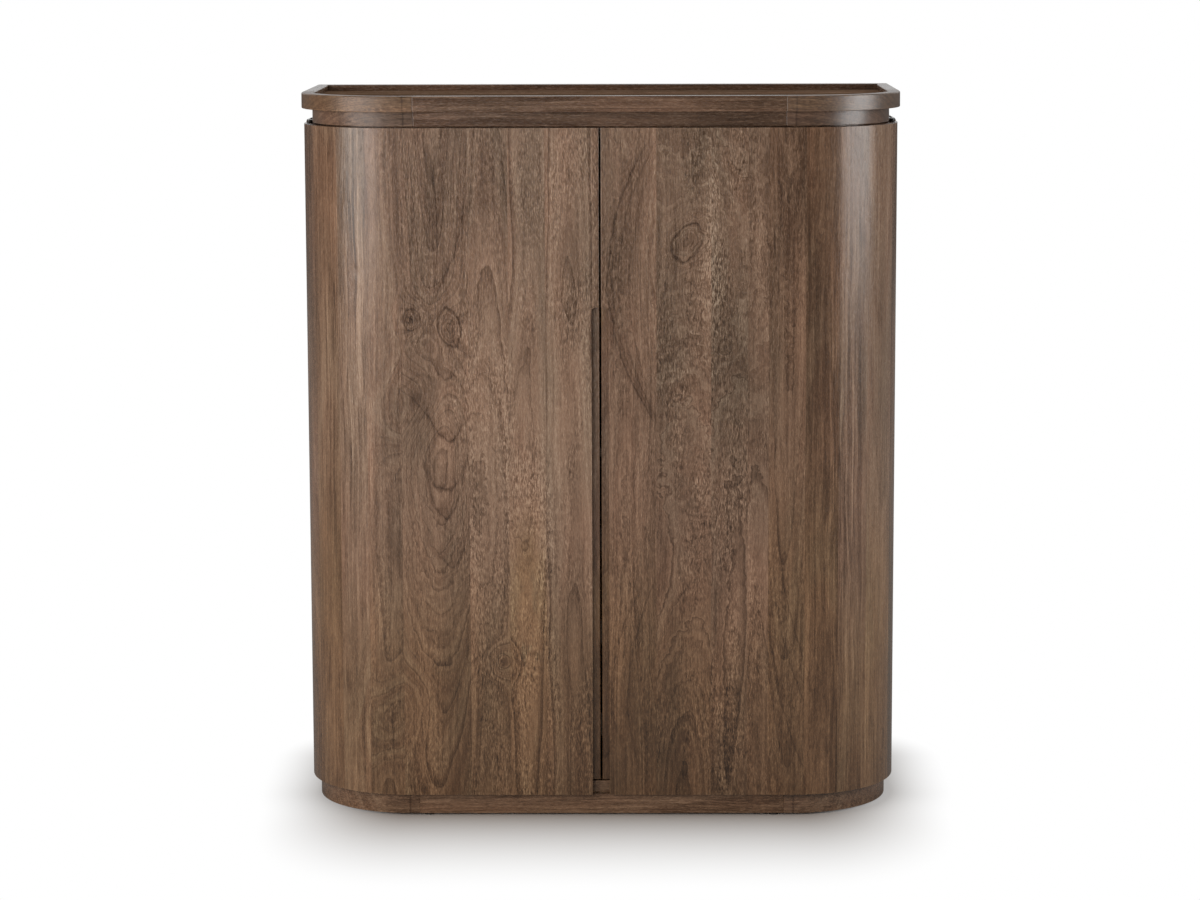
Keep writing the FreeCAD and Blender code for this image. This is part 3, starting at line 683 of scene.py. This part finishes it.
# Panels, shelf and racks
dress(wood("tray_floor_boards", "flat_x", stave_set(-0.22, 0.22, 5, 11, 0.58), gloss=0.0), "tray_floor")
for number, side in enumerate(("left", "right")):
    staves = stave_set(-0.03, 0.235, 4, 21 + number, 0.49)
    dress(wood(side + "_side_boards", "upright_y", staves), side + "_side_panel")
    # The strips' tones are set light, as painted light against the shade of the recess they stand in
    staves = one_stave(0.15 + 0.4 * number, 0.80 - 0.21 * number, 0.4 + 0.3 * number)
    painted_light_by_height, patches = strip_painted_shade_and_warmth[side]
    dress(wood(side + "_strip_board", "upright_x", staves, painted_light_by_height=painted_light_by_height, patches=patches), side + "_pull_strip")
    staves = stave_set(-0.19, 0.225, 4, 31 + number, 0.46)
    dress(wood(side + "_partition_boards", "upright_y", staves), side + "_rack_partition")
dress(wood("top_panel_boards", "flat_x", stave_set(-0.21, 0.225, 5, 41, 0.47)), "top_panel")
dress(wood("bottom_panel_boards", "flat_x", stave_set(-0.21, 0.225, 5, 42, 0.57, warmth=1.1)), "bottom_panel")
dress(wood("shelf_boards", "flat_x", stave_set(-0.19, 0.225, 5, 43, 0.47)), "mid_shelf")
dress(wood("back_boards", "upright_x", stave_set(-0.49, 0.49, 8, 44, 0.44)), "back_panel")
for tier in (1, 2, 3):
    for row, seed in (("front", 0.03), ("back", 0.47)):
        name = f"{row}_bottle_rail_{tier}"
        dress(wood(name + "_board", "along_x", one_stave(0.1 * tier + seed, 0.46)), name)
dress(wood("stemware_boards", "along_y", one_stave(0.37, 0.46)), "stemware_hangers", "stemware_flanges")
dress(wood("batten_boards", "along_y", one_stave(0.77, 0.46)), "neck_battens", "plinth_battens")


def plain_finish(name, dark, light, grain, rough, metal=0.0, bump=0.15):
    """A metal, plastic or rubber finish: two close tones in fine speckle, uneven gloss and a slight bump."""
    material, net = new_material(name)
    place = net.add("TexCoord").outputs["Object"]
    speck = net.noise(net.scaled(place, *grain), 3.0, 0.6)[0]
    patch = net.noise(net.scaled(place, 60.0, 60.0, 60.0), 2.0, 0.5)[0]
    mix = net.math("MULTIPLY_ADD", speck, 0.6, net.times(patch, 0.4))
    colour = net.ramp(mix, [(0.3, dark), (0.7, light)])
    roughness = net.math("MULTIPLY_ADD", patch, 0.25, rough - 0.12)
    normal = net.add("Bump", {"Strength": bump, "Distance": 0.0002, "Height": speck})
    shader = net.add("BsdfPrincipled", {
        "Base Color": colour, "Roughness": roughness, "Metallic": metal, "Normal": normal.outputs[0],
    })
    close_material(net, shader.outputs[0])
    return material


# Specks to a metre across, deep and along: fine ones, and ones drawn out as brushing leaves them
FINE = (900, 900, 900)
FINEST = (1400, 1400, 1400)
BLUNT = (700, 700, 700)
BRUSHED = (1500, 1500, 300)
hinge_metal = plain_finish(
    "black_hinge_metal", (0.012, 0.011, 0.010), (0.030, 0.028, 0.026), FINE, 0.10, bump=0.04
)
zinc = plain_finish("zinc_plate", (0.42, 0.42, 0.43), (0.62, 0.62, 0.61), BRUSHED, 0.35, 1.0)
dull_steel = plain_finish("dull_steel", (0.035, 0.033, 0.031), (0.075, 0.071, 0.067), BRUSHED, 0.5, 1.0)
plastic = plain_finish("black_plastic", (0.015, 0.015, 0.015), (0.035, 0.034, 0.033), FINEST, 0.5)
rubber = plain_finish("grey_rubber", (0.030, 0.028, 0.026), (0.060, 0.056, 0.052), BLUNT, 0.75)
for name in nodes:
    if name.endswith(("_strap", "_leaf")):
        dress(hinge_metal, name)
    elif name == "hinge_washers":
        dress(dull_steel, name)
    elif name == "hinge_pins" or name.endswith("strike_plate"):
        dress(zinc, name)
    elif name.endswith("_catch") or name == "floor_glides":
        dress(plastic, name)
dress(rubber, "door_bumpers")


def screw_heads(name, places, up, body, material):
    """Low round screw heads with a cross recess, all facing up or down, as one piece.

    On a grid of radius and angle the height is the cap's height times (rim less the fourth power of
    the radius as a share of the head's), less a recess. The recess is the depth times two smooth
    steps: one ends the arms of the cross, the other bounds their width. The outermost ring drops
    straight to the seat and the last one closes underneath.
    """
    head, cap, rim = 0.0026, 0.0008, 1.15
    depth, arm, slit, soft = 0.0005, 0.0016, 0.0004, 0.00025
    share = np.concatenate([np.linspace(0.0, 1.0, 15), [1.0, 0.0]])[:, None]
    angle = np.linspace(0.0, 2 * np.pi, 48, endpoint=False)[None, :]
    x, y = share * head * np.cos(angle), share * head * np.sin(angle)
    longest, shortest = np.maximum(abs(x), abs(y)), np.minimum(abs(x), abs(y))
    ends = np.clip((arm - longest) / soft, 0.0, 1.0)
    sides = np.clip((slit - shortest) / soft + 0.5, 0.0, 1.0)
    recess = depth * ends * ends * (3 - 2 * ends) * sides * sides * (3 - 2 * sides)
    height = cap * (rim - share ** 4) - recess
    height[-2:] = 0.0
    turn = np.random.default_rng(len(places)).uniform(0.0, np.pi, len(places))[:, None, None]
    grid = np.stack([
        x * np.cos(turn) - y * np.sin(turn), x * np.sin(turn) + y * np.cos(turn),
        np.broadcast_to(height * up, (len(places), *height.shape)),
    ], axis=-1) + np.asarray(places)[:, None, None, :]
    rings, around = height.shape
    first = (np.arange(len(places)) * rings * around)[:, None, None]
    first = first + (np.arange(rings - 1) * around)[None, :, None]
    here = np.arange(around)[None, None, :]
    after = (here + 1) % around
    quads = np.stack([first + here, first + around + here, first + around + after, first + after], axis=-1)
    quads = quads.reshape(-1, 4)[:, ::1 if up > 0 else -1]
    mesh = bpy.data.meshes.new(name)
    mesh.from_pydata(grid.reshape(-1, 3).tolist(), [], quads.tolist())
    mesh.materials.append(material)
    piece = bpy.data.objects.new(name, mesh)
    scene.collection.objects.link(piece)
    weld = piece.modifiers.new("close", "WELD")
    weld.merge_threshold = 1e-6
    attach(piece, body)


def hardware_screws():
    """The screws of the hinge straps, the leaves in the doors and the catches."""
    for side, sign in (("left", -1.0), ("right", 1.0)):
        for level, up in (("upper", 1.0), ("lower", -1.0)):
            for part, body, along in (
                ("strap", "case", STRAP_SCREWS_Y), ("leaf", side + "_door", LEAF_SCREWS_Y),
            ):
                low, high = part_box(level + "_" + side + "_" + part)
                face = high[2] if up > 0 else low[2]
                places = [(sign * HINGE_X, y, face) for y in along]
                name = "_".join((level, side, part, "screws"))
                screw_heads(name, places, up, body, hinge_metal)
        low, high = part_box(side + "_magnetic_catch")
        places = [(sign * x, (low[1] + high[1]) / 2, low[2]) for x in CATCH_SCREWS_X]
        screw_heads(side + "_catch_screws", places, -1.0, "case", zinc)


hardware_screws()


def make_floor():
    """A flat square sheet: each corner is the half width times plus or minus one, at floor height.

    The paint is a painted shadow round the plinth: near it the floor is a grey paint lit by the
    lamps, which also shows the real shadow, and away from it the floor fades to white. The distance
    away is the root of the squared distances beyond the flat of the plinth in x and beyond the centre
    of its bends or its back in y, less the bends' radius. Facing is 1 straight in front of the plinth
    and 0 beside it, and the painted shadow reaches further and is deeper in front.
    """
    half = 9.0
    middle, flat, back, radius = 0.0055, 0.3265, 0.170, 0.163
    side_reach, front_reach = 0.11, 0.33
    side_depth, front_depth = 0.66, 0.34
    corners = np.array([(-1, -1, 0), (1, -1, 0), (1, 1, 0), (-1, 1, 0)], float) * half
    mesh = bpy.data.meshes.new("studio_floor")
    mesh.from_pydata(corners.tolist(), [], [(0, 1, 2, 3)])
    floor = bpy.data.objects.new("studio_floor", mesh)
    scene.collection.objects.link(floor)
    material, net = new_material("studio_floor_paint")
    x, y = net.split(net.add("TexCoord").outputs["Object"])[:2]
    aside = net.math("ABSOLUTE", net.math("SUBTRACT", x, middle))
    away_x = net.math("MAXIMUM", net.math("SUBTRACT", aside, flat), 0.0)
    front_y = net.math("MAXIMUM", net.math("SUBTRACT", BEND_Y, y), 0.0)
    away_y = net.math("MAXIMUM", front_y, net.math("SUBTRACT", y, back))
    away = net.math("SQRT", net.math("MULTIPLY_ADD", away_x, away_x, net.times(away_y, away_y)))
    facing = net.math("DIVIDE", front_y, net.math("MAXIMUM", away, 0.001))
    facing = net.math("POWER", facing, 4.0)
    # Painted shadow: how far it reaches and how deep it is, more of both in front
    reach = net.math("MULTIPLY_ADD", facing, front_reach, side_reach)
    beyond = net.math("DIVIDE", net.math("SUBTRACT", away, radius), reach)
    near = net.math("SUBTRACT", 1.0, net.math("MINIMUM", net.math("MAXIMUM", beyond, 0.0), 1.0))
    deepest = net.math("MULTIPLY_ADD", facing, front_depth, side_depth)
    depth = net.times(net.math("POWER", near, 1.6), deepest)
    clear = net.math("SUBTRACT", 1.0, depth)
    light = net.add("LightPath").outputs
    seen = net.math("MAXIMUM", light["Is Camera Ray"], light["Is Transmission Ray"])
    seen = net.math("MAXIMUM", seen, net.times(light["Is Glossy Ray"], 0.15))
    grey = net.math("MULTIPLY_ADD", light["Is Glossy Ray"], -0.22, 0.38)
    paint = net.add("BsdfDiffuse", {"Color": net.join(net.times(grey, 1.12), grey, net.times(grey, 0.90))})
    white = net.add("Emission", {"Color": (1.0, 1.0, 1.0, 1.0), "Strength": 1.0})
    shader = net.add("MixShader", {0: net.times(clear, seen), 1: paint.outputs[0], 2: white.outputs[0]})
    close_material(net, shader.outputs[0])
    mesh.materials.append(material)


make_floor()
for name, node in nodes.items():
    if node.data.materials[0].name.endswith(("staves", "board", "boards")):
        ease_edges(EASED, name)


def make_world():
    """Even studio light from all round; the backdrop is white where it is seen."""
    world = bpy.data.worlds.new("studio")
    scene.world = world
    world.use_nodes = True
    world.node_tree.nodes.clear()
    net = Net(world.node_tree)
    light = net.add("LightPath").outputs
    direction = net.split(net.add("TexCoord").outputs["Generated"])
    behind = net.times(net.span(direction[1], 0.3, 0.9, 0.0, 0.9), net.span(direction[2], -0.02, 0.05))
    behind = net.times(behind, light["Is Glossy Ray"])
    seen = net.math("MAXIMUM", light["Is Camera Ray"], light["Is Transmission Ray"])
    seen = net.math("MAXIMUM", seen, behind)
    level = net.math("MULTIPLY_ADD", light["Is Glossy Ray"], -0.15, 0.22)
    fill = net.add("Background", {"Color": (1.0, 1.0, 1.0, 1.0), "Strength": level})
    white = net.add("Background", {"Color": (1.0, 1.0, 1.0, 1.0), "Strength": 1.0})
    mixed = net.add("MixShader", {0: seen, 1: fill.outputs[0], 2: white.outputs[0]})
    net.tree.links.new(mixed.outputs[0], net.add("OutputWorld").inputs[0])


make_world()


def softbox(name, place, target, size, power, mirrored=True, colour=(1.0, 1.0, 1.0)):
    """A rectangular lamp turned towards a point; one that isn't mirrored lights without a reflection."""
    data = bpy.data.lights.new(name, "AREA")
    data.shape = "RECTANGLE"
    data.size, data.size_y = size
    data.energy = power
    data.color = colour
    lamp = bpy.data.objects.new(name, data)
    aim = Vector(target) - Vector(place)
    lamp.matrix_world = Matrix.Translation(place) @ aim.to_track_quat("-Z", "Y").to_matrix().to_4x4()
    lamp.visible_glossy = mirrored
    scene.collection.objects.link(lamp)


softbox("front_key", (-1.0, -3.4, 1.2), (0.0, -0.2, 0.80), (2.0, 1.2), 55.0, False)
softbox("left_tall", (-2.48, -1.78, 1.52), (-0.4, -0.2, 1.0), (2.1, 1.7), 37.5, True, (1.0, 0.95, 0.91))
softbox("right_tall", (2.93, -0.90, 1.50), (0.42, -0.2, 0.95), (1.75, 1.6), 33.0)
softbox("back_fill", (0.8, 3.2, 2.2), (0.0, 0.2, 0.7), (2.0, 1.4), 26.0, False)
softbox("overhead", (0.0, 0.5, 3.2), (0.0, 0.0, 0.8), (2.0, 1.5), 8.0)


def make_camera():
    """The camera of the photograph: turned by yaw and pitch, with a slight roll and a lowered frame."""
    yaw, pitch, roll = -0.00984, 0.13838, -0.00282
    sideways = Vector((math.cos(yaw), -math.sin(yaw), 0.0))
    upwards = Vector((math.sin(yaw) * math.sin(pitch), math.cos(yaw) * math.sin(pitch), math.cos(pitch)))
    right = sideways * math.cos(roll) + upwards * math.sin(roll)
    top = upwards * math.cos(roll) - sideways * math.sin(roll)
    turn = Matrix((right, top, right.cross(top))).transposed()
    data = bpy.data.cameras.new("photograph")
    data.sensor_width = 36.0
    data.lens = 99.285
    data.shift_x, data.shift_y = -0.00467, -0.040
    camera = bpy.data.objects.new("photograph", data)
    camera.matrix_world = Matrix.Translation((0.0616, -5.6020, 1.4481)) @ turn.to_4x4()
    scene.collection.objects.link(camera)
    scene.camera = camera


make_camera()
scene.view_settings.view_transform = "Standard"
